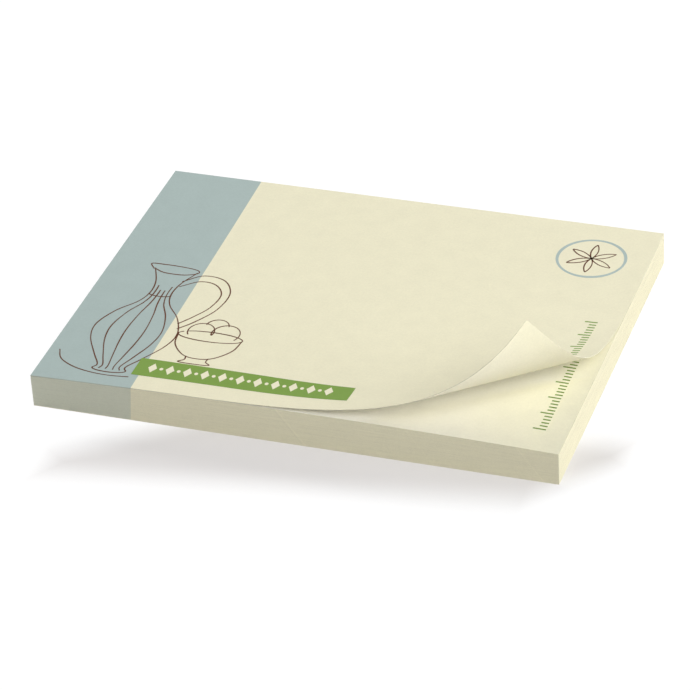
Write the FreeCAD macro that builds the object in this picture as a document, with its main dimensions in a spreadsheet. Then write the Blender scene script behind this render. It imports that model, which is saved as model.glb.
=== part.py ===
import FreeCAD, Part
import math
import os
import Sketcher

# A pad of sticky notes lying flat, with the front right corner of its top note curled up and over.
# Millimetres. The origin is the middle of the pad's underside, +X runs to the right along the long
# edges, +Y runs back to the gummed edge, and +Z is up.

document = FreeCAD.newDocument("sticky_note_pad")
sheet = document.addObject("Spreadsheet::Sheet", "Sizes")

SIZES = [
    ("note_width", "100", "length of a note's long edge"),
    ("note_depth", "75", "from a note's free front edge to its gummed back edge"),
    ("paper_thickness", "0.1", "thickness of one note"),
    ("stack_height", "6.4", "height of the notes below the top one, pressed together"),
    ("backing_thickness", "0.12", "thickness of the release sheet under the last note"),
    ("gum_width", "18", "width of the gummed band along the back edge"),
    ("gum_thickness", "0.05", "thickness of the gum under the top note"),
    ("front_arch", "0.7", "rise of the free front edges at mid width, over their corners"),
    ("flat_front", "30", "length of the top note's front edge, from the left, that still lies flat"),
    ("curl_to_gum", "5", "from the gummed band to where the right edge starts to lift"),
    ("curl_fan", "6.1", "degrees that the lines of bending swing round on the way to the corner"),
    ("curl_turn", "116", "degrees that the corner has turned over"),
    ("curl_early", "0.183", "share of the turning that is spread evenly; the rest comes near the corner"),
    ("corner_blunt", "0.3", "length that wear takes off the tip of the curled corner"),
]
for row, (alias, value, meaning) in enumerate(SIZES, start=1):
    sheet.set(f"A{row}", meaning)
    sheet.set(f"B{row}", value)
    sheet.setAlias(f"B{row}", alias)
document.recompute()


def size(alias):
    """Value of one named size, as a plain number."""
    return float(sheet.get(alias))


def origin_plane(body, role):
    """One of a body's own base planes, such as XZ_Plane."""
    return next(plane for plane in body.Origin.OriginFeatures if plane.Role == role)


def flat_sheet(label, width_formula, depth_formula, thickness_formula, back_edge_formula, base_formula):
    """A rectangular layer with its back edge and its underside at given places, centred across the pad."""
    layer = document.addObject("Part::Box", label)
    layer.Label = label
    layer.setExpression("Length", width_formula)
    layer.setExpression("Width", depth_formula)
    layer.setExpression("Height", thickness_formula)
    layer.setExpression("Placement.Base.x", f"-({width_formula}) / 2")
    layer.setExpression("Placement.Base.y", f"{back_edge_formula} - ({depth_formula})")
    layer.setExpression("Placement.Base.z", base_formula)
    return layer


# Release sheet: the last note's gum is stuck to it, and the pad lies on it.

backing_sheet = flat_sheet(
    "backing_sheet", "Sizes.note_width", "Sizes.note_depth", "Sizes.backing_thickness",
    "Sizes.note_depth / 2", "0 mm")


# Stack of notes below the top one. The gummed band at the back stays flat, and from there the free
# sheets rise a little towards the front, where their edge is a shallow arch.

def stack_section(body, name, plane_offset_formula, arched):
    """Upright outline of the stack across the pad: a rectangle, or one whose top is a shallow arc."""
    half = size("note_width") / 2
    low = size("backing_thickness")
    high = low + size("stack_height")
    rise = size("front_arch")
    sketch = body.newObject("Sketcher::SketchObject", name)
    sketch.AttachmentSupport = [(origin_plane(body, "XZ_Plane"), "")]
    sketch.MapMode = "FlatFace"
    sketch.setExpression("AttachmentOffset.Base.z", plane_offset_formula)
    corners = [(-half, low), (half, low), (half, high), (-half, high)]
    points = [FreeCAD.Vector(across, up, 0) for across, up in corners]
    bottom = sketch.addGeometry(Part.LineSegment(points[0], points[1]), False)
    right = sketch.addGeometry(Part.LineSegment(points[1], points[2]), False)
    if arched:
        crown = FreeCAD.Vector(0, high + rise, 0)
        top = sketch.addGeometry(Part.Arc(points[2], crown, points[3]), False)
    else:
        top = sketch.addGeometry(Part.LineSegment(points[2], points[3]), False)
    left = sketch.addGeometry(Part.LineSegment(points[3], points[0]), False)
    sketch.addConstraint(Sketcher.Constraint("Coincident", bottom, 2, right, 1))
    sketch.addConstraint(Sketcher.Constraint("Coincident", right, 2, top, 1))
    sketch.addConstraint(Sketcher.Constraint("Coincident", top, 2, left, 1))
    sketch.addConstraint(Sketcher.Constraint("Coincident", left, 2, bottom, 1))
    sketch.addConstraint(Sketcher.Constraint("Vertical", right))
    sketch.addConstraint(Sketcher.Constraint("Vertical", left))
    sketch.addConstraint(Sketcher.Constraint("Symmetric", bottom, 1, bottom, 2, -2))
    sizes = [
        (Sketcher.Constraint("DistanceX", bottom, 1, bottom, 2, 2 * half), "width", "Sizes.note_width"),
        (Sketcher.Constraint("DistanceY", -1, 1, bottom, 1, low), "base", "Sizes.backing_thickness"),
        (Sketcher.Constraint("DistanceY", right, 1, right, 2, high - low), "height", "Sizes.stack_height"),
    ]
    if arched:
        radius = (half ** 2 + rise ** 2) / (2 * rise)
        sketch.addConstraint(Sketcher.Constraint("Equal", left, right))
        sizes.append((
            Sketcher.Constraint("Radius", top, radius), "arch_radius",
            "((Sizes.note_width / 2)^2 + Sizes.front_arch^2) / (2 * Sizes.front_arch)"))
    else:
        sketch.addConstraint(Sketcher.Constraint("Horizontal", top))
    for constraint, constraint_name, formula in sizes:
        sketch.renameConstraint(sketch.addConstraint(constraint), constraint_name)
        sketch.setExpression(f"Constraints.{constraint_name}", formula)
    return sketch


note_block = document.addObject("PartDesign::Body", "note_block")
note_block.Label = "note_block"
gum_line_section = stack_section(
    note_block, "gum_line_section", "-(Sizes.note_depth / 2 - Sizes.gum_width)", False)
front_section = stack_section(note_block, "front_section", "Sizes.note_depth / 2", True)

gummed_part = note_block.newObject("PartDesign::Pad", "gummed_part")
gummed_part.Profile = gum_line_section
gummed_part.Reversed = True
gummed_part.setExpression("Length", "Sizes.gum_width")
document.recompute()

free_part = note_block.newObject("PartDesign::AdditiveLoft", "free_part")
free_part.Profile = gum_line_section
free_part.Sections = [front_section]
free_part.Ruled = True
document.recompute()


# Gum between the stack and the top note.

adhesive_strip = flat_sheet(
    "adhesive_strip", "Sizes.note_width", "Sizes.gum_width", "Sizes.gum_thickness",
    "Sizes.note_depth / 2", "Sizes.backing_thickness + Sizes.stack_height")


# Top note: one sheet, bent without stretching. It is flat over the gum, follows the arch of the stack
# in front of it, and from a slanting line across the front right corner it curls up and over. The
# bending follows straight lines that swing round slowly, each running from the front edge to the
# right edge, and tightens towards the corner.

OUTLINE_SPACING = 2.5
POINTS_ACROSS = 4


def sheet_places():
    """Edges and heights of the top note, from the named sizes."""
    half_width = size("note_width") / 2
    front = -size("note_depth") / 2
    gum_line = size("note_depth") / 2 - size("gum_width")
    top = size("backing_thickness") + size("stack_height") + size("gum_thickness") + size("paper_thickness")
    return {
        "left": -half_width,
        "right": half_width,
        "front": front,
        "gum_line": gum_line,
        "top": top,
        "lift_front": -half_width + size("flat_front"),
        "lift_side": gum_line - size("curl_to_gum"),
    }


def rise_of_arch(point, places):
    """Height that the arch adds: a parabola across the pad, fading evenly from the front to the gum."""
    across = point.x / places["right"]
    forward = (places["gum_line"] - point.y) / (places["gum_line"] - places["front"])
    return size("front_arch") * (1 - across ** 2) * forward


def sheet_section(start, end, places, lie=FreeCAD.Placement(), arching=1):
    """Thin closed outline of the sheet along the flat line from start to end, once laid in place and arched."""
    thickness = lie.Rotation.multVec(FreeCAD.Vector(0, 0, size("paper_thickness")))
    upper = []
    for step in range(POINTS_ACROSS):
        flat = start + (end - start) * (step / (POINTS_ACROSS - 1))
        upper.append(lie.multVec(flat) + FreeCAD.Vector(0, 0, arching * rise_of_arch(flat, places)))
    lower = [point - thickness for point in upper]
    upper_edge = Part.BezierCurve()
    upper_edge.interpolate([[point] for point in upper])
    lower_edge = Part.BezierCurve()
    lower_edge.interpolate([[point] for point in lower[::-1]])
    edges = [
        upper_edge.toShape(),
        Part.makeLine(upper[-1], lower[-1]),
        lower_edge.toShape(),
        Part.makeLine(lower[0], upper[0]),
    ]
    return Part.Wire(edges)


def bending_line(share, places):
    """Ends, on the flat note, of the line of bending at a share of the way from the first to the corner."""
    reach = places["right"] - places["lift_front"]
    first_slope = math.atan2(places["lift_side"] - places["front"], reach)
    slope = first_slope + math.radians(size("curl_fan")) * share
    start = FreeCAD.Vector(places["lift_front"] + reach * share, places["front"], places["top"])
    side = places["front"] + reach * (1 - share) * math.tan(slope)
    return start, FreeCAD.Vector(places["right"], side, places["top"])


def turned_by(share):
    """Degrees that the sheet has turned up by a share of the way: an even part and a part that grows cubed."""
    early = size("curl_early")
    return size("curl_turn") * (early * share + (1 - early) * share ** 3)


def curled_sections(places):
    """Outlines from the first line of bending to the corner, each strip folded a little about its line.

    The arch of the stack fades out of the sheet on the way.
    """
    reach = places["right"] - places["lift_front"]
    last_share = 1 - size("corner_blunt") / reach
    strips = math.ceil(reach / OUTLINE_SPACING)
    lie = FreeCAD.Placement()
    sections = [sheet_section(*bending_line(0, places), places)]
    for strip in range(strips):
        near = last_share * strip / strips
        far = last_share * (strip + 1) / strips
        start, end = bending_line((near + far) / 2, places)
        turn = turned_by(far) - turned_by(near)
        fold = FreeCAD.Placement(FreeCAD.Vector(), FreeCAD.Rotation(end - start, -turn), start)
        lie = lie.multiply(fold)
        arching = 1 - (strip + 1) / strips
        sections.append(sheet_section(*bending_line(far, places), places, lie, arching))
    return sections


def unbent_sections(places):
    """Outlines that fan out over the arch, from the left front corner's to the first line of bending."""
    middle_side = places["gum_line"] - size("curl_to_gum") / 2
    corner = FreeCAD.Vector(places["left"], places["front"], places["top"])
    beside = FreeCAD.Vector(places["right"], middle_side, places["top"])
    first_start, first_end = bending_line(0, places)
    steps = math.ceil(size("flat_front") / OUTLINE_SPACING)
    sections = []
    for step in range(steps):
        share = step / steps
        start = corner + (first_start - corner) * share
        end = beside + (first_end - beside) * share
        sections.append(sheet_section(start, end, places))
    return sections


def top_note_shape():
    """The whole top note as one solid: gummed band, arched part and curled corner."""
    places = sheet_places()
    band = Part.makeBox(
        size("note_width"), size("gum_width"), size("paper_thickness"),
        FreeCAD.Vector(places["left"], places["gum_line"], places["top"] - size("paper_thickness")))
    gum_edge = sheet_section(
        FreeCAD.Vector(places["left"], places["gum_line"], places["top"]),
        FreeCAD.Vector(places["right"], places["gum_line"], places["top"]), places)
    fan = unbent_sections(places)
    arched = Part.makeLoft([gum_edge, fan[0]], True, True)
    curled = Part.makeLoft(fan + curled_sections(places), True, False)
    return band.fuse([arched, curled]).removeSplitter()


top_note = document.addObject("Part::Feature", "top_note")
top_note.Label = "top_note"
top_note.Shape = top_note_shape()
top_note.Placement = FreeCAD.Placement()

document.recompute()


def check_and_write(parts):
    """Stops on any failed object or broken shape, then writes each part to its own file."""
    for thing in document.Objects:
        if "Invalid" in thing.State or "Error" in thing.State:
            raise RuntimeError(f"{thing.Name} did not build: {thing.State}")
    for part in parts:
        if part.Shape.isNull() or not part.Shape.isValid() or len(part.Shape.Solids) != 1:
            raise RuntimeError(f"{part.Label} is not one valid solid")
    os.makedirs("parts", exist_ok=True)
    for part in parts:
        part.Shape.exportStep(f"parts/{part.Label}.step")


check_and_write([backing_sheet, note_block, adhesive_strip, top_note])
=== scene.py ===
"""A pad of sticky notes lying flat, its top note curled up at the front right corner.

Metres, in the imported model's frame: +X runs right along the long edges, +Y back to the gummed edge.
"""
from itertools import accumulate

import bpy
import numpy as np
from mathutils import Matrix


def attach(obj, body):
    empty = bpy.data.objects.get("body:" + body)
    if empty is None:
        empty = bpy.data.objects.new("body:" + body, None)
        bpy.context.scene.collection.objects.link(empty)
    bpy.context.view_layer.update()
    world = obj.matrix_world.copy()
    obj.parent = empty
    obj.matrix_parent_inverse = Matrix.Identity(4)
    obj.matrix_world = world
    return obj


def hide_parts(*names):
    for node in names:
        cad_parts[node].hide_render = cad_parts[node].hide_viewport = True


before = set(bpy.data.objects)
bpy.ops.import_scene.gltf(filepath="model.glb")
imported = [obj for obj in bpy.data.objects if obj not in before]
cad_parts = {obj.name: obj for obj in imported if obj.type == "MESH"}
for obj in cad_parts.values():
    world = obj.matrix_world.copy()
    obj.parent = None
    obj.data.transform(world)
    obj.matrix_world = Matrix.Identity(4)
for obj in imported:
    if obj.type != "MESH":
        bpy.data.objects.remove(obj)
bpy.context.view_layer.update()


# ---- Where the pad is seen from -------------------------------------------------------------
# The camera stands a good half metre off, over the pad's front right, with a long lens. Its place,
# turn and lens were fitted to the corners of the pad in the photograph.

CAMERA_PLACE = (0.190588, -0.518952, 0.362646)
CAMERA_TURN = (56.4954, 2.9295, 18.4574)
CAMERA_LENS = 183.58
CAMERA_SENSOR = 36
CAMERA_NEAREST = 0.01

camera = bpy.data.objects.new("camera", bpy.data.cameras.new("camera"))
camera.data.sensor_width = CAMERA_SENSOR
camera.data.lens = CAMERA_LENS
camera.data.clip_start = CAMERA_NEAREST
camera.location = CAMERA_PLACE
camera.rotation_euler = np.radians(CAMERA_TURN)
bpy.context.scene.collection.objects.link(camera)
bpy.context.scene.camera = camera
bpy.context.scene.view_settings.view_transform = "Standard"


# ---- The table and the light ----------------------------------------------------------------
# A white table top under three soft lamps: a high one over the front right, a low one on the right,
# and one behind on the left that lays a faint shadow in front of the pad. The background reads as white.

# The camera sees a painted grey shadow in a strip in front of the pad, and painted glare around it.
TABLE_HALF_WIDTH = 3.0
TABLE_POINTS = 9
TABLE_WHITE = (0.80, 0.78, 0.79, 1)
TABLE_SHOWN = (0.935, 0.915, 0.915, 1)
TABLE_PAINTED_SHADOW = (0.715, 0.693, 0.680, 1)
PAINTED_SHADOW_SHARE = 0.6
# Painted glare: white that the camera sees over the table's shade, grown across bands round the pad.
TABLE_GLARE = 0.92
GLARE_GLOW = 1.05
GLARE_SIDES = {
    "front": ((0.155, -1.0, 0.0), 0.0450, 0.0565),
    "front right": ((1.11, -1.0, 0.0), 0.0875, 0.0995),
    "back": ((0.0, 1.0, 0.0), -0.0290, -0.0180),
    "left": ((-1.0, 0.0, 0.0), 0.0360, 0.0450),
    "front left": ((-0.76, 1.0, 0.0), -0.0265, -0.0135),
    "right": ((1.0, 0.0, 0.0), 0.0550, 0.0620)}
SHELTERED_MIDDLE = (0.0, 0.0090, 0.0)
SHELTERED_HALF = (0.0420, 0.0305, 0.0)
SHELTER_FADES_FROM = 0.001
SHELTER_FADES_TO = 0.008
ROOM_LIGHT = 0.02
PLAIN_WHITE = (1, 1, 1, 1)
HIGH_LAMP = {"towards": (0.48, -0.55, 0.68), "distance": 1.5, "width": 1.0, "power": 13.3}
LOW_LAMP = {"towards": (0.90, 0.00, 0.43), "distance": 1.5, "width": 1.0, "power": 15.1}
BACK_LAMP = {"towards": (-0.45, 0.75, 0.47), "distance": 1.5, "width": 0.6, "power": 16.4}


def add_node(tree, kind, inputs=None, **settings):
    """One new node with its settings, and its sockets filled from values or from other sockets."""
    made = tree.nodes.new(kind)
    for name, value in settings.items():
        setattr(made, name, value)
    for name, value in (inputs or {}).items():
        if isinstance(value, bpy.types.NodeSocket):
            tree.links.new(value, made.inputs[name])
        else:
            made.inputs[name].default_value = value
    return made


def maths(tree, operation, *numbers, use_clamp=False):
    """Result of a math node on numbers, each given as a value or a socket."""
    return add_node(tree, "ShaderNodeMath", dict(enumerate(numbers)), operation=operation,
                    use_clamp=use_clamp).outputs[0]


def vector_maths(tree, operation, *vectors):
    """Result of a vector math node: a number for a dot product or a length, else a vector."""
    made = add_node(tree, "ShaderNodeVectorMath", dict(enumerate(vectors)), operation=operation)
    return made.outputs["Value" if operation in ("DOT_PRODUCT", "LENGTH") else "Vector"]


def map_range(tree, value, first, last, at_first=0.0, at_last=1.0, smooth=False):
    """Number that goes from one value to another while the given one goes from first to last."""
    made = add_node(tree, "ShaderNodeMapRange", {"Value": value, "From Min": first, "From Max": last,
                                                 "To Min": at_first, "To Max": at_last},
                    interpolation_type="SMOOTHSTEP" if smooth else "LINEAR")
    return made.outputs["Result"]


def mix_colours(tree, share, under, over):
    """Colour that goes from one to another as the share of the second goes from 0 to 1."""
    return add_node(tree, "ShaderNodeMix", {0: share, 6: under, 7: over}, data_type="RGBA").outputs[2]


def mix_shaders(tree, share, under, over):
    """Node that goes from one shader to another as the share of the second goes from 0 to 1."""
    return add_node(tree, "ShaderNodeMixShader", {0: share, 1: under.outputs[0], 2: over.outputs[0]})


def soft_lamp(name, towards, distance, width, power):
    """A square lamp at a distance along a direction from the pad, facing back to it."""
    lamp = bpy.data.objects.new(name, bpy.data.lights.new(name, "AREA"))
    lamp.data.shape = "SQUARE"
    lamp.data.size = width
    lamp.data.energy = power
    away = np.array(towards) / np.linalg.norm(towards)
    lamp.location = away * distance
    lamp.rotation_euler = (np.arccos(away[2]), 0, np.arctan2(away[0], -away[1]))
    bpy.context.scene.collection.objects.link(lamp)
    return lamp


def seen_directly(tree):
    """Mask of the rays that show the background itself: straight, mirrored or through glass."""
    path = add_node(tree, "ShaderNodeLightPath").outputs
    mirrored = maths(tree, "MAXIMUM", path["Is Camera Ray"], path["Is Glossy Ray"])
    return maths(tree, "MAXIMUM", mirrored, path["Is Transmission Ray"])


def white_room():
    """World that lights the pad at a plain level and shows as plain white."""
    world = bpy.data.worlds.new("white room")
    world.use_nodes = True
    tree = world.node_tree
    tree.nodes.clear()
    light = add_node(tree, "ShaderNodeBackground", {"Color": PLAIN_WHITE, "Strength": ROOM_LIGHT})
    white = add_node(tree, "ShaderNodeBackground", {"Color": PLAIN_WHITE, "Strength": 1.0})
    shown = mix_shaders(tree, seen_directly(tree), light, white)
    add_node(tree, "ShaderNodeOutputWorld", {"Surface": shown.outputs[0]})
    return world


def blank_material(name):
    """A new material and its empty node tree."""
    material = bpy.data.materials.new(name)
    material.use_nodes = True
    material.node_tree.nodes.clear()
    return material, material.node_tree


def squares(grid):
    """Four-sided faces between the point numbers of a grid, or of many grids."""
    return np.stack([grid[..., :-1, :-1], grid[..., :-1, 1:], grid[..., 1:, 1:], grid[..., 1:, :-1]],
                    axis=-1).reshape(-1, 4)


def table_glare(tree, where):
    """Shares of painted glare and of painted grey shadow in what the camera sees of the table.

    Painted glare takes most of the shade away except on the strip just in front of the pad. On each side it
    grows smoothly across a band, measured as the dot product of the place with that side's direction, and the
    largest counts. Where there is none, an even grey, a painted shadow, takes its share of the shade. Close
    behind the pad the glare fades out again, with the distance from a rectangle there.
    """
    glare = 0.0
    for side, low, high in GLARE_SIDES.values():
        along = vector_maths(tree, "DOT_PRODUCT", where, side)
        band = map_range(tree, along, low, high, 0.0, TABLE_GLARE, smooth=True)
        glare = maths(tree, "MAXIMUM", glare, band)
    # Share of the painted shadow: an even grey wherever there is no glare.
    even = maths(tree, "MULTIPLY_ADD", glare, -PAINTED_SHADOW_SHARE / TABLE_GLARE, PAINTED_SHADOW_SHARE)
    away = vector_maths(tree, "ABSOLUTE", vector_maths(tree, "SUBTRACT", where, SHELTERED_MIDDLE))
    past = vector_maths(tree, "SUBTRACT", away, SHELTERED_HALF)
    gap = vector_maths(tree, "LENGTH", vector_maths(tree, "MAXIMUM", past, (0.0, 0.0, 0.0)))
    open_table = map_range(tree, gap, SHELTER_FADES_FROM, SHELTER_FADES_TO, smooth=True)
    return maths(tree, "MULTIPLY", glare, open_table), even


def table_top():
    """A square grid of points on z = 0 in matt white, which reads as plain white where no shadow falls."""
    across = np.linspace(-TABLE_HALF_WIDTH, TABLE_HALF_WIDTH, TABLE_POINTS)
    x, y = np.meshgrid(across, across)
    faces = squares(np.arange(x.size).reshape(x.shape))
    mesh = bpy.data.meshes.new("table_top")
    mesh.from_pydata(np.stack([x, y, 0 * x], axis=-1).reshape(-1, 3).tolist(), [], faces.tolist())
    material, tree = blank_material("white table")
    direct = seen_directly(tree)
    glare, even = table_glare(tree, add_node(tree, "ShaderNodeTexCoord").outputs["Object"])
    tone = mix_colours(tree, direct, TABLE_WHITE, TABLE_SHOWN)
    matte = add_node(tree, "ShaderNodeBsdfDiffuse", {"Color": tone})
    # Painted shadow: an even grey that the camera sees in the strip in front of the pad.
    grey = add_node(tree, "ShaderNodeEmission", {"Color": TABLE_PAINTED_SHADOW, "Strength": 1.0})
    # Painted glare: white that covers the table's shade outside the strip in front of the pad.
    white = add_node(tree, "ShaderNodeEmission", {"Strength": GLARE_GLOW})
    shaded = mix_shaders(tree, maths(tree, "MULTIPLY", direct, even), matte, grey)
    seen = mix_shaders(tree, maths(tree, "MULTIPLY", direct, glare), shaded, white)
    add_node(tree, "ShaderNodeOutputMaterial", {"Surface": seen.outputs[0]})
    mesh.materials.append(material)
    table = bpy.data.objects.new("table_top", mesh)
    bpy.context.scene.collection.objects.link(table)
    return table


bpy.context.scene.world = white_room()
soft_lamp("high_lamp", **HIGH_LAMP)
soft_lamp("low_lamp", **LOW_LAMP)
soft_lamp("back_lamp", **BACK_LAMP)
table_top()


# ---- Release sheet --------------------------------------------------------------------------
# The sheet under the last note is thin glazed paper that the gum lets go of. It is the packed
# model's own solid, cut to the notes' size, and gets a smoother finish than the notes have.

RELEASE_PAPER = (0.80, 0.76, 0.60, 1)
PAPER_CLOUDS = {"Scale": 260.0, "Detail": 3.0, "Roughness": 0.55}
PAPER_FIBRES = {"Scale": 2200.0, "Detail": 4.0, "Roughness": 0.65, "Distortion": 0.6}
FIBRE_ON_ROUGHNESS = 0.12
FIBRE_HEIGHT = 0.00003


def new_group(name, inputs, outputs):
    """A node group with named inputs, each with its kind and value, and named outputs with their kinds."""
    group = bpy.data.node_groups.new(name, "ShaderNodeTree")
    for socket, kind, value in inputs:
        made = group.interface.new_socket(socket, in_out="INPUT", socket_type="NodeSocket" + kind)
        made.default_value = value
    for socket, kind in outputs:
        group.interface.new_socket(socket, in_out="OUTPUT", socket_type="NodeSocket" + kind)
    return group


def scaled(tree, colour, factor):
    """A colour times a number."""
    return add_node(tree, "ShaderNodeVectorMath", {0: colour, "Scale": factor}, operation="SCALE").outputs[0]


def paper_group():
    """Node group for paper: soft mottling, fine fibres, and the height of the fibres.

    Colour out is colour in times (1 + mottling * (slow noise - 0.5) + fibre * (fine noise - 0.5)).
    """
    group = new_group("paper",
                      [("Colour", "Color", (0.8, 0.8, 0.8, 1)), ("Place", "Vector", (0, 0, 0)),
                       ("Mottling", "Float", 0.04), ("Fibre", "Float", 0.05), ("Rough", "Float", 0.85)],
                      [("Colour", "Color"), ("Roughness", "Float"), ("Height", "Float")])
    given = add_node(group, "NodeGroupInput").outputs
    cloud, fibre = (add_node(group, "ShaderNodeTexNoise", {"Vector": given["Place"], **noise}).outputs["Fac"]
                    for noise in (PAPER_CLOUDS, PAPER_FIBRES))
    cloud_part, fibre_part = maths(group, "SUBTRACT", cloud, 0.5), maths(group, "SUBTRACT", fibre, 0.5)
    soft = maths(group, "MULTIPLY_ADD", cloud_part, given["Mottling"], 1.0)
    shade = maths(group, "MULTIPLY_ADD", fibre_part, given["Fibre"], soft)
    rough = maths(group, "MULTIPLY_ADD", fibre_part, FIBRE_ON_ROUGHNESS, given["Rough"], use_clamp=True)
    add_node(group, "NodeGroupOutput",
             {"Colour": scaled(group, given["Colour"], shade), "Roughness": rough, "Height": fibre})
    return group


PAPER = paper_group()


def finish_surface(tree, colour, rough, gloss, height, relief, depth):
    """Ends a material in a plain surface, with a relief of a height, strength and depth over it."""
    bump = add_node(tree, "ShaderNodeBump", {"Height": height, "Strength": relief, "Distance": depth})
    surface = add_node(tree, "ShaderNodeBsdfPrincipled", {"Base Color": colour, "Roughness": rough,
                                                          "Normal": bump.outputs["Normal"],
                                                          "Specular IOR Level": gloss})
    add_node(tree, "ShaderNodeOutputMaterial", {"Surface": surface.outputs[0]})


def paper_material(name, colour, mottling, fibre, rough, relief, place=None, gloss=0.25):
    """Paper of a colour: four numbers, or a function that builds nodes and returns their colour.

    The grain follows a point attribute of the mesh if its name is given as the place.
    """
    material, tree = blank_material(name)
    if place is None:
        where = add_node(tree, "ShaderNodeTexCoord").outputs["Object"]
    else:
        where = add_node(tree, "ShaderNodeAttribute", attribute_name=place).outputs["Vector"]
    tone = colour(tree, where) if callable(colour) else colour
    sheet = add_node(tree, "ShaderNodeGroup", {"Colour": tone, "Place": where, "Mottling": mottling,
                                               "Fibre": fibre, "Rough": rough}, node_tree=PAPER).outputs
    finish_surface(tree, sheet["Colour"], sheet["Roughness"], gloss, sheet["Height"], relief, FIBRE_HEIGHT)
    return material


def dress(node_name, *materials):
    """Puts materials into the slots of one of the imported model's own objects."""
    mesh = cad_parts[node_name].data
    mesh.materials.clear()
    for material in materials:
        mesh.materials.append(material)


dress("backing_sheet", paper_material("glazed release paper", RELEASE_PAPER, mottling=0.03, fibre=0.03,
                                      rough=0.5, relief=0.2, gloss=0.4))


# ---- Stack of notes -------------------------------------------------------------------------
# Sixty-four sheets of cream paper, gummed to each other along the back, cut together and tinted
# blue-grey at the left end. The free sheets rise a little at the front, and their cut edges don't
# line up perfectly: each stands back by a few thousandths of a millimetre.

NOTE_HALF_WIDTH = 0.050
NOTE_HALF_DEPTH = 0.0375
GUM_LINE = 0.0195
STACK_FOOT = 0.00012
STACK_HEIGHT = 0.0064
FRONT_ARCH = 0.0007
STACK_SHEETS = 64
POINTS_ALONG = 51
POINTS_FREE = 30
POINTS_GUMMED = 10
EDGE_SCATTER = 0.000005
SCATTER_SEED = 5
SCATTER_OF_SIDES = (1.0, 1.0, 1.2, 0.4)
SCATTER_AT_MOST = 8
SECOND_NOTE_STEP = 0.00008
SHARP_ANGLE = 0.7
NOTE_GRAIN = {"mottling": 0.090, "fibre": 0.150, "rough": 0.88, "relief": 0.5}
CREAM = (0.831, 0.791, 0.584, 1)
# Painted light on the second note: lighter under the curl's shade, and lighter towards the right end.
CURL_SHADE_LIGHTENED_CREAM = (0.925, 0.908, 0.820, 1)
OUT_OF_CURL_SHADE_TOWARDS = (0.584, -0.812, 0.0)
CURL_SHADE_LIGHTENED_UP_TO = 0.0365
CURL_SHADE_LIGHTENING_ENDS = 0.0395
LIGHTENING_ENDS_RIGHT_FROM = 0.041
LIGHTENING_ENDS_RIGHT_TO = 0.049
OPEN_CREAM = (0.828, 0.806, 0.688, 1)
PAINTED_LIGHT_CREAM = (0.925, 0.897, 0.705, 1)
PAINTED_LIGHT_FROM = 0.030
PAINTED_LIGHT_TO = 0.045
CUT_CREAM = (0.799, 0.764, 0.564, 1)
STREAK_SCALE = (90.0, 90.0, 9000.0)
STREAK_DULLEST = 0.985
STREAK_FROM = 0.30
STREAK_TO = 0.65
SHADE_BETWEEN_SHEETS = 0.28
SHADE_HALF_WIDTH = 0.03
SHADE_FADED_BY = 0.14
PATCH_SCALE = (140.0, 140.0, 5200.0)
PATCH_FROM = 0.30
PATCH_TO = 0.70
BLADE_MARKS = ((0.0030, 0.055), (0.00245, -0.035), (0.0270, 0.022), (0.0473, 0.045))
BLADE_SLANT = 0.75
BLADE_MARK_HALF_WIDTH = 0.00006
BLADE_MARK_FADED_BY = 0.00020
TINT = (0.395, 0.482, 0.464, 1)
TINT_EDGE_BACK = -0.0318
TINT_EDGE_FRONT = -0.0303
TINT_ON_CUT_EDGES = 0.45
TINT_CREEP = 0.085
TINT_HALF_BLUR = 0.00003


def arch_rise(x, y):
    """Rise of the free sheets: a parabola across the pad, growing evenly from the gum line to the front."""
    forward = np.clip((GUM_LINE - y) / (GUM_LINE + NOTE_HALF_DEPTH), 0, 1)
    return FRONT_ARCH * (1 - (x / NOTE_HALF_WIDTH) ** 2) * forward


def tint_group():
    """Node group for the tinted end: 1 to the left of a nearly straight line across the note, 0 to its right.

    The line stands at x = back + (front - back) * (half depth - y) / depth + creep * (z - top of stack), so
    with a creep it moves left from note to note down the stack. It is soft over 0.06 mm.
    """
    group = new_group("tinted end",
                      [("Place", "Vector", (0, 0, 0)), ("Strength", "Float", 1.0), ("Creep", "Float", 0.0)],
                      [("Mask", "Float")])
    given = add_node(group, "NodeGroupInput").outputs
    place = add_node(group, "ShaderNodeSeparateXYZ", {0: given["Place"]}).outputs
    slant = (TINT_EDGE_BACK - TINT_EDGE_FRONT) / (2 * NOTE_HALF_DEPTH)
    middle = (TINT_EDGE_BACK + TINT_EDGE_FRONT) / 2
    line = maths(group, "MULTIPLY_ADD", place["Y"], slant, middle)
    under_top = maths(group, "SUBTRACT", place["Z"], STACK_FOOT + STACK_HEIGHT)
    crept = maths(group, "MULTIPLY_ADD", under_top, given["Creep"], line)
    inside = maths(group, "SUBTRACT", crept, place["X"])
    mask = map_range(group, inside, -TINT_HALF_BLUR, TINT_HALF_BLUR, 0.0, given["Strength"])
    add_node(group, "NodeGroupOutput", {"Mask": mask})
    return group


TINTED_END = tint_group()


def tinted(tree, where, under, strength=1.0, creep=0.0):
    """Colour of paper with its left end tinted, over a colour given as a value or a socket."""
    end = add_node(tree, "ShaderNodeGroup", {"Place": where, "Strength": strength, "Creep": creep},
                   node_tree=TINTED_END)
    return mix_colours(tree, end.outputs["Mask"], under, TINT)


def printed_face(tree, where):
    """Cream with the tinted end, as on the face of each note."""
    return tinted(tree, where, CREAM)


def along_note(tree, where, first, last):
    """Number that goes evenly from 0 to 1 between two places along x."""
    return map_range(tree, add_node(tree, "ShaderNodeSeparateXYZ", {0: where}).outputs["X"], first, last)


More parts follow.
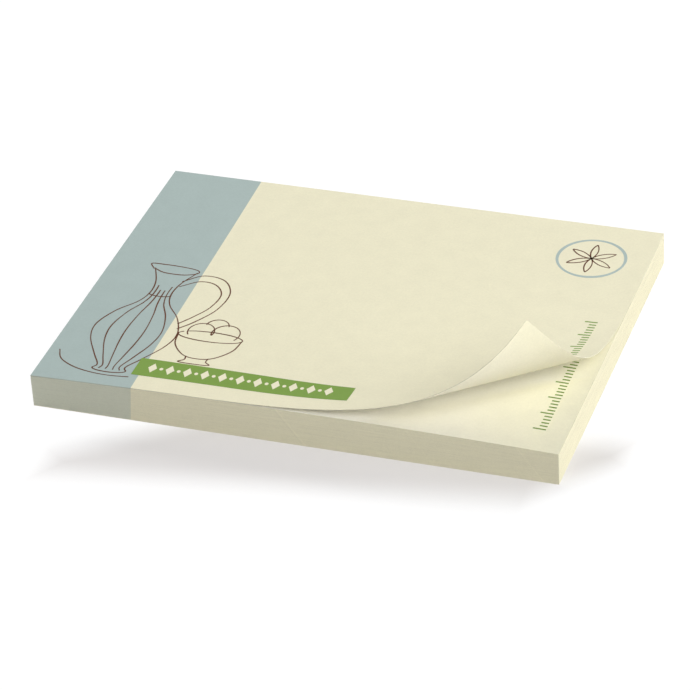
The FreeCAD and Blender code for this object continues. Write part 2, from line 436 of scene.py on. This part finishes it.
def second_face(tree, where):
    """The same on the second note, with painted light under the curl's shade and towards the right end.

    Under the curl, where its shade falls, the cream is painted lighter. How far a place is out from under the
    curl is its dot product with the direction towards the open corner; close to the right end it is out as
    well.
    On the open part, painted light grows towards the right, and the cream is bluer than the top note's,
    against the yellow of the shade.
    """
    painted_light = along_note(tree, where, PAINTED_LIGHT_FROM, PAINTED_LIGHT_TO)
    open_tone = mix_colours(tree, painted_light, OPEN_CREAM, PAINTED_LIGHT_CREAM)
    out = vector_maths(tree, "DOT_PRODUCT", where, OUT_OF_CURL_SHADE_TOWARDS)
    out_of_curl_shade = map_range(tree, out, CURL_SHADE_LIGHTENED_UP_TO, CURL_SHADE_LIGHTENING_ENDS, smooth=True)
    lightening_gone = maths(tree, "MAXIMUM", out_of_curl_shade, along_note(tree, where, LIGHTENING_ENDS_RIGHT_FROM, LIGHTENING_ENDS_RIGHT_TO))
    return tinted(tree, where, mix_colours(tree, lightening_gone, CURL_SHADE_LIGHTENED_CREAM, open_tone))


def blade_marks(tree, where):
    """One plus the strength of the slanting marks that nicks in the cutter's blade leave.

    A mark lies where x + slant * z is its first number. Its strength, the second, fades evenly to nothing on
    both sides.
    """
    place = add_node(tree, "ShaderNodeSeparateXYZ", {0: where}).outputs
    across = maths(tree, "MULTIPLY_ADD", place["Z"], BLADE_SLANT, place["X"])
    brightness = 1.0
    for mark, strength in BLADE_MARKS:
        off = maths(tree, "ABSOLUTE", maths(tree, "SUBTRACT", across, mark))
        line = map_range(tree, off, BLADE_MARK_HALF_WIDTH, BLADE_MARK_FADED_BY, strength, 0.0)
        brightness = maths(tree, "ADD", brightness, line)
    return brightness


def drawn_out_noise(tree, where, scale, detail):
    """Noise with a scale of its own along each axis."""
    placed = add_node(tree, "ShaderNodeMapping", {0: where, "Scale": scale}).outputs[0]
    noise = add_node(tree, "ShaderNodeTexNoise", {"Vector": placed, "Scale": 1.0, "Detail": detail})
    return noise.outputs["Fac"]


def duller(colour, factor):
    """A colour given as four numbers, with the first three times a factor."""
    return tuple(factor * part for part in colour[:3]) + (1,)


def cut_edges(tree, where):
    """Cream with the sheets' edges in it, from the count of sheets that the mesh carries.

    Noise drawn out 100 to 1 along the edges gives each sheet its own tone. Between two sheets, where the
    count is whole, lies a dark line about a sixth of a sheet wide. A second noise makes it stronger and
    weaker along the edge.
    """
    tone = add_node(tree, "ShaderNodeValToRGB", {0: drawn_out_noise(tree, where, STREAK_SCALE, detail=2.0)})
    tone.color_ramp.elements[0].position = STREAK_FROM
    tone.color_ramp.elements[0].color = duller(CUT_CREAM, STREAK_DULLEST)
    tone.color_ramp.elements[1].position = STREAK_TO
    tone.color_ramp.elements[1].color = CUT_CREAM
    count = add_node(tree, "ShaderNodeAttribute", attribute_name="sheet_count").outputs["Fac"]
    into_sheet = maths(tree, "PINGPONG", count, 0.5)
    between = map_range(tree, into_sheet, SHADE_HALF_WIDTH, SHADE_FADED_BY, 1.0, 0.0, smooth=True)
    patch = drawn_out_noise(tree, where, PATCH_SCALE, detail=1.0)
    strength = map_range(tree, patch, PATCH_FROM, PATCH_TO, 0.0, SHADE_BETWEEN_SHEETS)
    kept = maths(tree, "SUBTRACT", blade_marks(tree, where), maths(tree, "MULTIPLY", between, strength))
    return tinted(tree, where, scaled(tree, tone.outputs["Color"], kept), TINT_ON_CUT_EDGES, TINT_CREEP)


def mesh_from(name, points, faces, kinds):
    """Piece of given points and four-sided faces with their material slots, smooth but for sharp edges."""
    mesh = bpy.data.meshes.new(name)
    mesh.from_pydata(points.reshape(-1, 3).tolist(), [], faces.reshape(-1, 4).tolist())
    mesh.polygons.foreach_set("material_index", kinds)
    mesh.polygons.foreach_set("use_smooth", np.ones(len(mesh.polygons), dtype=bool))
    mesh.set_sharp_from_angle(angle=SHARP_ANGLE)
    piece = bpy.data.objects.new(name, mesh)
    bpy.context.scene.collection.objects.link(piece)
    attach(piece, "root")
    return piece


def rim(grid):
    """Values once round the rim of a grid, or of many grids."""
    return np.concatenate([grid[..., 0, :-1], grid[..., :-1, -1], grid[..., -1, :0:-1], grid[..., :0:-1, 0]],
                          axis=-1)


def stack_of_notes():
    """Closed mesh of the stack: a pair of outlines for each sheet, and a grid of points over top and bottom.

    A sheet's outline is the note's rectangle, with its left, right, front and back sides drawn in by their
    own small random amounts. Its height is its share of the stack's, with the arch added in the same share.
    Each point carries the count of sheets below it.
    """
    free = np.linspace(-NOTE_HALF_DEPTH, GUM_LINE, POINTS_FREE)
    gummed = np.linspace(GUM_LINE, NOTE_HALF_DEPTH, POINTS_GUMMED)[1:]
    grid_x, grid_y = np.meshgrid(np.linspace(-NOTE_HALF_WIDTH, NOTE_HALF_WIDTH, POINTS_ALONG),
                                 np.concatenate([free, gummed]))
    ring_x, ring_y = rim(grid_x), rim(grid_y)
    chance = np.random.default_rng(SCATTER_SEED)
    drawn_in = chance.exponential(EDGE_SCATTER, (4, STACK_SHEETS)) * np.array(SCATTER_OF_SIDES)[:, None]
    drawn_in = np.clip(drawn_in, 0, SCATTER_AT_MOST * EDGE_SCATTER)
    drawn_in[1, -1] = SECOND_NOTE_STEP

    def cut(sheet, flat_x, flat_y, share):
        """Points of one or more sheets, from their numbers, flat places and height shares."""
        left, right, front, back = drawn_in[:, sheet]
        placed_x = flat_x - np.where(flat_x > 0, right, left) * flat_x / NOTE_HALF_WIDTH
        placed_y = flat_y - np.where(flat_y > 0, back, front) * flat_y / NOTE_HALF_DEPTH
        placed_z = STACK_FOOT + share * (STACK_HEIGHT + arch_rise(flat_x, flat_y))
        return np.stack([placed_x, placed_y, placed_z], axis=-1)

    sheet = np.repeat(np.arange(STACK_SHEETS), 2)[:, None]
    share = (sheet + np.tile([0, 1], STACK_SHEETS)[:, None]) / STACK_SHEETS
    wall = cut(sheet, ring_x[None, :], ring_y[None, :], share)
    top = cut(np.full(grid_x.shape, STACK_SHEETS - 1), grid_x, grid_y, 1.0)
    foot = cut(np.zeros(grid_x.shape, dtype=int), grid_x, grid_y, 0.0)

    number = np.arange(wall.size // 3).reshape(wall.shape[:2])
    onward = np.roll(number, -1, axis=1)
    wall_faces = np.stack([number[:-1], onward[:-1], onward[1:], number[1:]], axis=-1).reshape(-1, 4)
    cap_faces = squares(np.arange(top.size // 3).reshape(grid_x.shape))
    first_top, first_foot = wall.size // 3, wall.size // 3 + top.size // 3
    points = np.concatenate([wall.reshape(-1, 3), top.reshape(-1, 3), foot.reshape(-1, 3)])
    faces = np.concatenate([wall_faces, first_top + cap_faces, first_foot + cap_faces[:, ::-1]])
    kinds = np.concatenate([np.ones(len(wall_faces), int), np.zeros(2 * len(cap_faces), int)])
    piece = mesh_from("stack_of_notes", points, faces, kinds)
    below = np.repeat([*share.ravel(), 1.0, 0.0], [ring_x.size] * len(share) + [grid_x.size] * 2)
    count = piece.data.attributes.new("sheet_count", "FLOAT", "POINT")
    count.data.foreach_set("value", STACK_SHEETS * below)
    return piece


stack = stack_of_notes()
stack.data.materials.append(paper_material("printed face of the second note", second_face, **NOTE_GRAIN))
stack.data.materials.append(paper_material("cut edges of the notes", cut_edges, mottling=0.03, fibre=0.14,
                                           rough=0.92, relief=0.35))
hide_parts("note_block")


# ---- Gum ------------------------------------------------------------------------------------
# A thin coat of repositionable gum holds the top note to the stack along its back edge. It is the
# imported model's own solid, pale and a little tacky, rolled on in fine stripes.

GUM = (0.78, 0.75, 0.58, 1)
GUM_DULLEST = 0.92
GUM_STRIPES = (40.0, 1800.0, 1800.0)
GUM_GLOSS = 0.4
GUM_ROUGHNESS = 0.35
GUM_RELIEF = 0.3
STRIPE_ON_ROUGHNESS = 0.25
STRIPE_HEIGHT = 0.00002


def gum_material():
    """Pale gum, with noise drawn out along the pad for the stripes of the roller."""
    material, tree = blank_material("repositionable gum")
    where = add_node(tree, "ShaderNodeTexCoord").outputs["Object"]
    stripe = drawn_out_noise(tree, where, GUM_STRIPES, detail=3.0)
    tone = mix_colours(tree, stripe, duller(GUM, GUM_DULLEST), GUM)
    rough = maths(tree, "MULTIPLY_ADD", stripe, STRIPE_ON_ROUGHNESS, GUM_ROUGHNESS)
    finish_surface(tree, tone, rough, GUM_GLOSS, stripe, GUM_RELIEF, STRIPE_HEIGHT)
    return material


dress("adhesive_strip", gum_material())


# ---- Top note -------------------------------------------------------------------------------
# One sheet of the same cream paper. Gum holds it flat along the back; in front it follows the arch
# of the stack, and from a slanting line its front right corner curls up and over, as a used pad's does.

NOTE_TOP = 0.00667
PAPER_THICKNESS = 0.0001
NOTE_TRIM = 0.9999
# Painted light on the underside: a glow through the paper away from the tip, and painted shade at the tip.
UNDERSIDE_PAINTED_GLOW = (0.915, 0.885, 0.735, 1)
TIP_PAINTED_SHADE = (0.795, 0.762, 0.560, 1)
TIP_SHADE_FROM = 0.025
TIP_SHADE_TO = 0.048
FLAT_RIM_PAINTED_SHADE = (0.540, 0.520, 0.400, 1)
LIFTED_RIM = (0.760, 0.735, 0.575, 1)
RIM_LIFTS_FROM = -0.020
RIM_LIFTS_TO = 0.010
CURL_FROM_FRONT = -0.020
CURL_FROM_SIDE = 0.0145
CURL_FAN = np.radians(6.1)
CURL_TURN = np.radians(115.8)
CURL_EARLY = 0.183
CORNER_BLUNT = 0.0003
CURL_FOLDS = 168
HALVINGS = 40
ROWS_GUMMED = 10
ROWS_ARCHED = 30
ROWS_TO_CURL = 16
ROW_POINTS = 61
CURL_REACH = NOTE_HALF_WIDTH - CURL_FROM_FRONT
LAST_SHARE = 1 - CORNER_BLUNT / CURL_REACH


def bending_line(share):
    """Where a line of bending leaves the front edge, and its slope, at a share of the way to the corner."""
    first_slope = np.arctan2(CURL_FROM_SIDE + NOTE_HALF_DEPTH, CURL_REACH)
    return CURL_FROM_FRONT + CURL_REACH * share, first_slope + CURL_FAN * share


def folds_of_the_curl():
    """Placement of each strip of the curl, after all the folds before it, as 4 x 4 matrices.

    The turn by a share s of the way is turn * (early * s + (1 - early) * s cubed). A strip adds its part
    of that about its middle line, a turn K of the axis: I + sin(angle) K + (1 - cos(angle)) K K.
    """
    edges = LAST_SHARE * np.arange(CURL_FOLDS + 1) / CURL_FOLDS
    turned = CURL_TURN * (CURL_EARLY * edges + (1 - CURL_EARLY) * edges ** 3)
    angle = -np.diff(turned)
    start, slope = bending_line((edges[1:] + edges[:-1]) / 2)
    axis = np.zeros((CURL_FOLDS, 3, 3))
    axis[:, 0, 2] = np.sin(slope)
    axis[:, 1, 2] = -np.cos(slope)
    axis[:, 2, 0] = -np.sin(slope)
    axis[:, 2, 1] = np.cos(slope)
    fold = np.tile(np.eye(4), (CURL_FOLDS, 1, 1))
    sine, cosine = np.sin(angle)[:, None, None], np.cos(angle)[:, None, None]
    fold[:, :3, :3] += sine * axis + (1 - cosine) * (axis @ axis)
    through = np.stack([start, np.full(CURL_FOLDS, -NOTE_HALF_DEPTH), np.full(CURL_FOLDS, NOTE_TOP)], axis=-1)
    fold[:, :3, 3] = through - np.einsum("kij,kj->ki", fold[:, :3, :3], through)
    return np.array(list(accumulate([np.eye(4), *fold], np.matmul)))


FOLDED = folds_of_the_curl()


def on_top_note(x, y, lift):
    """Places on the curled top note of points of the flat one, at a height over its upper face.

    Each point's line of bending is found by halving. The point goes where that line's strip goes,
    blended between the strip's two edges; the arch fades out over the curl.
    """
    before, beyond = np.zeros_like(x), np.full_like(x, LAST_SHARE)
    for _ in range(HALVINGS):
        middle = (before + beyond) / 2
        start, slope = bending_line(middle)
        passed = (x - start) * np.sin(slope) > (y + NOTE_HALF_DEPTH) * np.cos(slope)
        before, beyond = np.where(passed, middle, before), np.where(passed, beyond, middle)
    strip = before / LAST_SHARE * CURL_FOLDS
    whole = np.minimum(strip.astype(int), CURL_FOLDS - 1)
    part = (strip - whole)[..., None, None]
    placement = FOLDED[whole] * (1 - part) + FOLDED[whole + 1] * part
    flat = np.stack([x, y, np.full_like(x, NOTE_TOP), np.ones_like(x)], axis=-1)
    placed = np.einsum("...ij,...j->...i", placement, flat)[..., :3]
    upward = placement[..., :3, 2] / np.linalg.norm(placement[..., :3, 2], axis=-1, keepdims=True)
    placed[..., 2] += arch_rise(x, y) * (1 - before / LAST_SHARE)
    return placed + lift * upward


def note_rows():
    """Ends of straight rows across the flat note, from the gummed edge round to the curled corner."""
    corner = (-NOTE_HALF_WIDTH, -NOTE_HALF_DEPTH)
    beside = (NOTE_HALF_WIDTH, (GUM_LINE + CURL_FROM_SIDE) / 2)
    back = np.linspace(NOTE_HALF_DEPTH, GUM_LINE, ROWS_GUMMED)[:-1, None]
    share = np.linspace(0, 1, ROWS_ARCHED)[:-1, None]
    lead = np.linspace(0, 1, ROWS_TO_CURL)[:-1, None]
    start, slope = bending_line(LAST_SHARE * np.arange(CURL_FOLDS + 1) / CURL_FOLDS)
    side = -NOTE_HALF_DEPTH + (NOTE_HALF_WIDTH - start) * np.tan(slope)
    lefts = np.concatenate([
        np.hstack([np.full_like(back, -NOTE_HALF_WIDTH), back]),
        (1 - share) * [-NOTE_HALF_WIDTH, GUM_LINE] + share * corner,
        (1 - lead) * corner + lead * [CURL_FROM_FRONT, -NOTE_HALF_DEPTH],
        np.stack([start, np.full_like(start, -NOTE_HALF_DEPTH)], axis=-1)])
    rights = np.concatenate([
        np.hstack([np.full_like(back, NOTE_HALF_WIDTH), back]),
        (1 - share) * [NOTE_HALF_WIDTH, GUM_LINE] + share * beside,
        (1 - lead) * beside + lead * [NOTE_HALF_WIDTH, CURL_FROM_SIDE],
        np.stack([np.full_like(start, NOTE_HALF_WIDTH), side], axis=-1)])
    return lefts[:, None, :], rights[:, None, :]


def thin_layers(name, laid, x, y, top, bottom):
    """Closed mesh of K thin layers: R by C flat points each, laid at two heights and joined round the rim."""
    upper, lower = laid(x, y, top), laid(x, y, bottom)
    over, under = np.arange(2 * x.size).reshape(2, *x.shape)
    outer, inner = rim(over), rim(under)
    ends = np.stack([outer, inner, np.roll(inner, -1, axis=1), np.roll(outer, -1, axis=1)], axis=-1)
    faces = np.concatenate([squares(over), squares(under)[:, ::-1], ends.reshape(-1, 4)])
    along, across = upper[0, 1, 0] - upper[0, 0, 0], upper[0, 0, 1] - upper[0, 0, 0]
    if np.cross(across, along) @ (upper[0, 0, 0] - lower[0, 0, 0]) < 0:
        faces = faces[:, ::-1]
    kinds = np.repeat([0, 1, 2], [len(squares(over)), len(squares(under)), ends.size // 4])
    layer = mesh_from(name, np.stack([upper, lower]), faces, kinds)
    place = layer.data.attributes.new("flat_place", "FLOAT_VECTOR", "POINT")
    flat = np.stack([x, y, 0 * x], axis=-1)
    place.data.foreach_set("vector", np.stack([flat, flat]).ravel())
    return layer


def underside_painted_light(tree, where):
    """Bare cream that changes evenly along the note from a painted glow, light through the paper, to painted
    shade at the tip.
    """
    toward_tip = along_note(tree, where, TIP_SHADE_FROM, TIP_SHADE_TO)
    return mix_colours(tree, toward_tip, UNDERSIDE_PAINTED_GLOW, TIP_PAINTED_SHADE)


def note_rim(tree, where):
    """Cut edge of the top note: painted shadow where it lies flat, lighter towards the curl, and tinted at
    the left.
    """
    lifted = along_note(tree, where, RIM_LIFTS_FROM, RIM_LIFTS_TO)
    return tinted(tree, where, mix_colours(tree, lifted, FLAT_RIM_PAINTED_SHADE, LIFTED_RIM), TINT_ON_CUT_EDGES)


lefts, rights = note_rows()
along_row = np.linspace(0, 1, ROW_POINTS)[None, :, None]
note_x, note_y = np.moveaxis(NOTE_TRIM * (lefts * (1 - along_row) + rights * along_row)[None], -1, 0)
top_sheet = thin_layers("top_sheet", on_top_note, note_x, note_y, 0.0, -PAPER_THICKNESS)
top_sheet.data.materials.append(
    paper_material("printed face of the top note", printed_face, **NOTE_GRAIN, place="flat_place"))
top_sheet.data.materials.append(
    paper_material("underside of the top note", underside_painted_light, **NOTE_GRAIN, place="flat_place"))
top_sheet.data.materials.append(
    paper_material("cut edge of the top note", note_rim, mottling=0.03, fibre=0.06, rough=0.92, relief=0.2,
                   place="flat_place"))
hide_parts("top_note")


# ---- Banner ---------------------------------------------------------------------------------
# A green bar printed along the front, with a row of lozenges and dots left in the paper's cream. It
# lies on the note like all the print, as ink a few hundredths of a millimetre thick, and curls with it.

BANNER_LEFT = -0.0319
BANNER_RIGHT = 0.0097
BANNER_FRONT = -0.03315
BANNER_BACK = -0.0276
BANNER_TAPER = 0.00035
BANNER_TAPER_IN_FRONT = -0.4
BANNER_SLANT = 0.0003
BANNER_POINTS = 90
BANNER_ROWS = 7
BANNER_INK_TOP = 0.00003
INK_SUNK = -0.00002
GREEN_INK = (0.180, 0.306, 0.046, 1)
FIRST_LOZENGE = 0.0032
LOZENGE_STEP = 0.0034
LOZENGE_HALF = (0.00085, 0.0015)
DOT_HALF = (0.00036, 0.00042)
ORNAMENT_MARGIN = 0.002
ORNAMENT_INK_TOP = 0.00004
PATCH_POINTS = 7


def printed(name, laid, x, y, ink_top, colour, mottling=0.04):
    """Print on a note: thin closed layers of ink with the paper's grain showing through."""
    ink = thin_layers(name, laid, x, y, ink_top, INK_SUNK)
    material = paper_material(name.replace("_", " "), colour, mottling, fibre=0.06, rough=0.8, relief=0.2,
                              place="flat_place")
    for _ in range(3):
        ink.data.materials.append(material)
    return ink


def on_patches(centre_x, centre_y, half, outline):
    """Grids of small patches about given centres: squares from -1 to 1, shaped by an outline function."""
    steps = np.linspace(-1, 1, PATCH_POINTS)
    down, across = np.meshgrid(steps, steps, indexing="ij")
    shaped_x, shaped_y = outline(across, down)
    return np.broadcast_arrays(centre_x[:, None, None] + half[0] * shaped_x, centre_y + half[1] * shaped_y)


def disc(across, down):
    """Square to round: each number times the root of 1 minus half the other's square."""
    return across * np.sqrt(1 - down ** 2 / 2), down * np.sqrt(1 - across ** 2 / 2)


def lozenge(across, down):
    """Square to diamond: half the sum and half the difference of the two numbers."""
    return (across + down) / 2, (across - down) / 2


bar_x, bar_y = np.meshgrid(np.linspace(BANNER_LEFT, BANNER_RIGHT, BANNER_POINTS),
                           np.linspace(BANNER_FRONT, BANNER_BACK, BANNER_ROWS), indexing="ij")
taper = BANNER_TAPER * np.linspace(BANNER_TAPER_IN_FRONT, 1, BANNER_ROWS)[None, :]
bar_y = bar_y - np.linspace(0, 1, BANNER_POINTS)[:, None] * (BANNER_SLANT + taper)
printed("banner", on_top_note, bar_x[None], bar_y[None], BANNER_INK_TOP, GREEN_INK)

banner_middle = (BANNER_FRONT + BANNER_BACK) / 2
lozenge_at = np.arange(BANNER_LEFT + FIRST_LOZENGE, BANNER_RIGHT - ORNAMENT_MARGIN, LOZENGE_STEP)
dot_at = lozenge_at[:-1] + LOZENGE_STEP / 2
lozenges = on_patches(lozenge_at, banner_middle, LOZENGE_HALF, lozenge)
dots = on_patches(dot_at, banner_middle, DOT_HALF, disc)
ornament_x, ornament_y = (np.concatenate(both) for both in zip(lozenges, dots))
printed("banner_ornament", on_top_note, ornament_x, ornament_y, ORNAMENT_INK_TOP, CREAM, mottling=0.02)


# ---- Line drawing ---------------------------------------------------------------------------
# A jug and a bowl of fruit in thin brown lines, half on the tinted end and half on the cream, drawn in
# the loose way of a pen that is hardly lifted. The bowl stands on the banner. Its points and radii are in
# millimetres from the note's front left corner.

BROWN_INK = (0.096, 0.028, 0.006, 1)
PEN_WIDTH = 0.00024
PEN_INK_TOP = 0.00002
PEN_SWELL = 0.14
PEN_SWELL_STEP = 0.0023
STROKE_POINTS = 200
SPAN_POINTS = 16
ARC_POINTS = 90
JUG_AXIS = 13.5
JUG_PROFILE = [(5.0, 3.3), (6.3, 2.8), (9.5, 4.7), (14.5, 7.4), (19.0, 8.1), (24.0, 6.2), (28.0, 3.2),
               (31.5, 2.1), (35.5, 2.5), (40.0, 4.3)]
OUTER_RIB_END = 124
INNER_RIB_END = 118


def from_corner(points):
    """Flat metres from millimetres counted from the note's front left corner."""
    return np.array(points) / 1000 - [NOTE_HALF_WIDTH, NOTE_HALF_DEPTH]


def smooth_line(points):
    """Cubic curve through points; its slope at each is half the step between that point's neighbours."""
    points = np.array(points, dtype=float)
    slope = np.gradient(points, axis=0)[:, None]
    at = points[:, None]
    t = np.linspace(0, 1, SPAN_POINTS, endpoint=False)[None, :, None]
    spans = ((2 * t ** 3 - 3 * t ** 2 + 1) * at[:-1] + (t ** 3 - 2 * t ** 2 + t) * slope[:-1]
             + (3 * t ** 2 - 2 * t ** 3) * at[1:] + (t ** 3 - t ** 2) * slope[1:])
    return np.concatenate([spans.reshape(-1, 2), points[-1:]])


def round_line(centre, half_x, half_y, start=0.0, end=360.0):
    """Arc of an ellipse, from one angle to another."""
    angle = np.radians(np.linspace(start, end, ARC_POINTS))
    return np.stack([centre[0] + half_x * np.cos(angle), centre[1] + half_y * np.sin(angle)], axis=-1)


def pen_strokes(lines, width):
    """Grids of K pen strokes: each line at even steps, with two sides half a width off along its normal."""
    runs = [np.concatenate([[0], np.cumsum(np.linalg.norm(np.diff(line, axis=0), axis=1))]) for line in lines]
    even = [np.linspace(0, run[-1], STROKE_POINTS) for run in runs]
    path = np.array([np.stack([np.interp(e, run, line[:, 0]), np.interp(e, run, line[:, 1])], axis=-1)
                     for e, run, line in zip(even, runs, lines)])
    heading = np.gradient(path, axis=1)
    heading /= np.linalg.norm(heading, axis=-1, keepdims=True)
    aside = np.stack([-heading[..., 1], heading[..., 0]], axis=-1)
    swelling = np.sin(np.array(even) / PEN_SWELL_STEP + np.arange(len(lines))[:, None])
    half = (width / 2 * (1 + PEN_SWELL * swelling))[..., None, None]
    sides = path[:, :, None, :] + half * aside[:, :, None, :] * np.array([1, -1])[None, None, :, None]
    return sides[..., 0], sides[..., 1]


def jug_line(share):
    """Line up the jug's side at a share of its half width."""
    heights, half_widths = np.array(JUG_PROFILE).T
    return smooth_line(np.stack([JUG_AXIS + share * half_widths, heights], axis=-1))


drawing = [
    jug_line(-1.0), jug_line(1.0),
    jug_line(-0.62)[:OUTER_RIB_END], jug_line(-0.22)[:INNER_RIB_END],
    jug_line(0.22)[:INNER_RIB_END], jug_line(0.62)[:OUTER_RIB_END],
    smooth_line([(9.1, 39.6), (8.0, 41.3), (10.6, 41.5), (14.0, 41.4), (17.4, 40.9), (17.9, 39.8),
                 (15.4, 38.7), (11.6, 38.7), (9.3, 39.7)]),
    round_line((JUG_AXIS, 5.0), 3.3, 0.9, 170, 370),
    round_line((JUG_AXIS, 31.2), 2.2, 0.7, 175, 365),
    smooth_line([(16.0, 36.4), (19.4, 39.3), (23.8, 38.6), (26.4, 34.4), (25.9, 28.6), (23.4, 23.8),
                 (20.9, 20.6)]),
    smooth_line([(16.1, 34.6), (19.4, 37.2), (22.8, 36.7), (24.9, 33.6), (24.4, 29.0), (22.4, 25.2),
                 (20.4, 22.3)]),
    smooth_line([(2.0, 9.4), (3.4, 6.6), (6.4, 4.6), (10.0, 3.5), (14.0, 3.1), (18.0, 3.4)]),
    round_line((28.0, 19.4), 6.3, 1.6, 150, 500),
    smooth_line([(21.7, 19.3), (22.4, 15.8), (25.0, 12.7), (28.0, 11.9), (31.0, 12.7), (33.6, 15.8),
                 (34.3, 19.5)]),
    smooth_line([(25.8, 12.4), (25.9, 11.2), (25.0, 10.3), (28.0, 10.1), (31.0, 10.3), (30.1, 11.2),
                 (30.2, 12.4)]),
    round_line((25.6, 20.9), 2.5, 2.7, -20, 215),
    round_line((30.4, 21.0), 2.7, 2.9, -35, 200),
    round_line((28.0, 23.1), 2.2, 2.3, 10, 175),
]
pen_x, pen_y = pen_strokes([from_corner(line) for line in drawing], PEN_WIDTH)
printed("line_drawing", on_top_note, pen_x, pen_y, PEN_INK_TOP, BROWN_INK)


# ---- Emblem ---------------------------------------------------------------------------------
# Near the back right corner: a ring in the tint's blue-grey round a six-petal rosette, the figure that
# a pair of compasses makes by stepping its own radius round a circle. Its centre and radii are in
# millimetres from the same corner.

EMBLEM_CENTRE = (88.9, 63.0)
RING_RADIUS = 6.5
RING_WIDTH = 0.00055
ROSETTE_RADIUS = 4.9
PETAL_HALF_ARC = 60


def petal_arc(way):
    """Arc about a point of the rosette's circle, the given degrees round, that runs through the middle."""
    step = ROSETTE_RADIUS * np.array([np.cos(np.radians(way)), np.sin(np.radians(way))])
    return round_line(EMBLEM_CENTRE + step, ROSETTE_RADIUS, ROSETTE_RADIUS, way + 180 - PETAL_HALF_ARC,
                      way + 180 + PETAL_HALF_ARC)


circle = round_line(EMBLEM_CENTRE, RING_RADIUS, RING_RADIUS)
circle_x, circle_y = pen_strokes([from_corner(circle)], RING_WIDTH)
printed("emblem_ring", on_top_note, circle_x, circle_y, PEN_INK_TOP, TINT)
petal_x, petal_y = pen_strokes([from_corner(petal_arc(way)) for way in np.arange(30, 390, 60)], PEN_WIDTH)
printed("emblem_rosette", on_top_note, petal_x, petal_y, PEN_INK_TOP, BROWN_INK)


# ---- Edge scale -----------------------------------------------------------------------------
# Plain green marks a millimetre apart up the right side, each fifth one longer, as on a ruler. They are
# on every note, so they show on the second one as well, where the top note's corner is lifted.

SCALE_BASE = 0.0459
SCALE_FROM = -0.0310
SCALE_STEP = 0.001
SCALE_MARKS = 36
LONG_EVERY = 5
LONG_MARK = 0.0024
SHORT_MARK = 0.0014
MARK_HALF_WIDTH = 0.00017
MARK_POINTS = 5


def scale_marks():
    """Grids of the marks: short strokes across that start on one line, every fifth nearly twice as long."""
    mark = np.arange(SCALE_MARKS)
    length = np.where(mark % LONG_EVERY == 0, LONG_MARK, SHORT_MARK)
    middle = SCALE_BASE - length / 2
    down, across = np.meshgrid([-1.0, 1.0], np.linspace(-1, 1, MARK_POINTS), indexing="ij")
    x = middle[:, None, None] + across[None] * (length / 2)[:, None, None]
    y = (SCALE_FROM + SCALE_STEP * mark)[:, None, None] + down[None] * MARK_HALF_WIDTH
    return x, y


def on_second_note(x, y, lift):
    """Places on the stack's top face: its height and the arch, at a height over it."""
    return np.stack([x, y, STACK_FOOT + STACK_HEIGHT + arch_rise(x, y) + lift], axis=-1)


mark_x, mark_y = scale_marks()
printed("edge_scale", on_top_note, mark_x, mark_y, PEN_INK_TOP, GREEN_INK)
printed("edge_scale_of_second_note", on_second_note, mark_x, mark_y, PEN_INK_TOP, GREEN_INK)
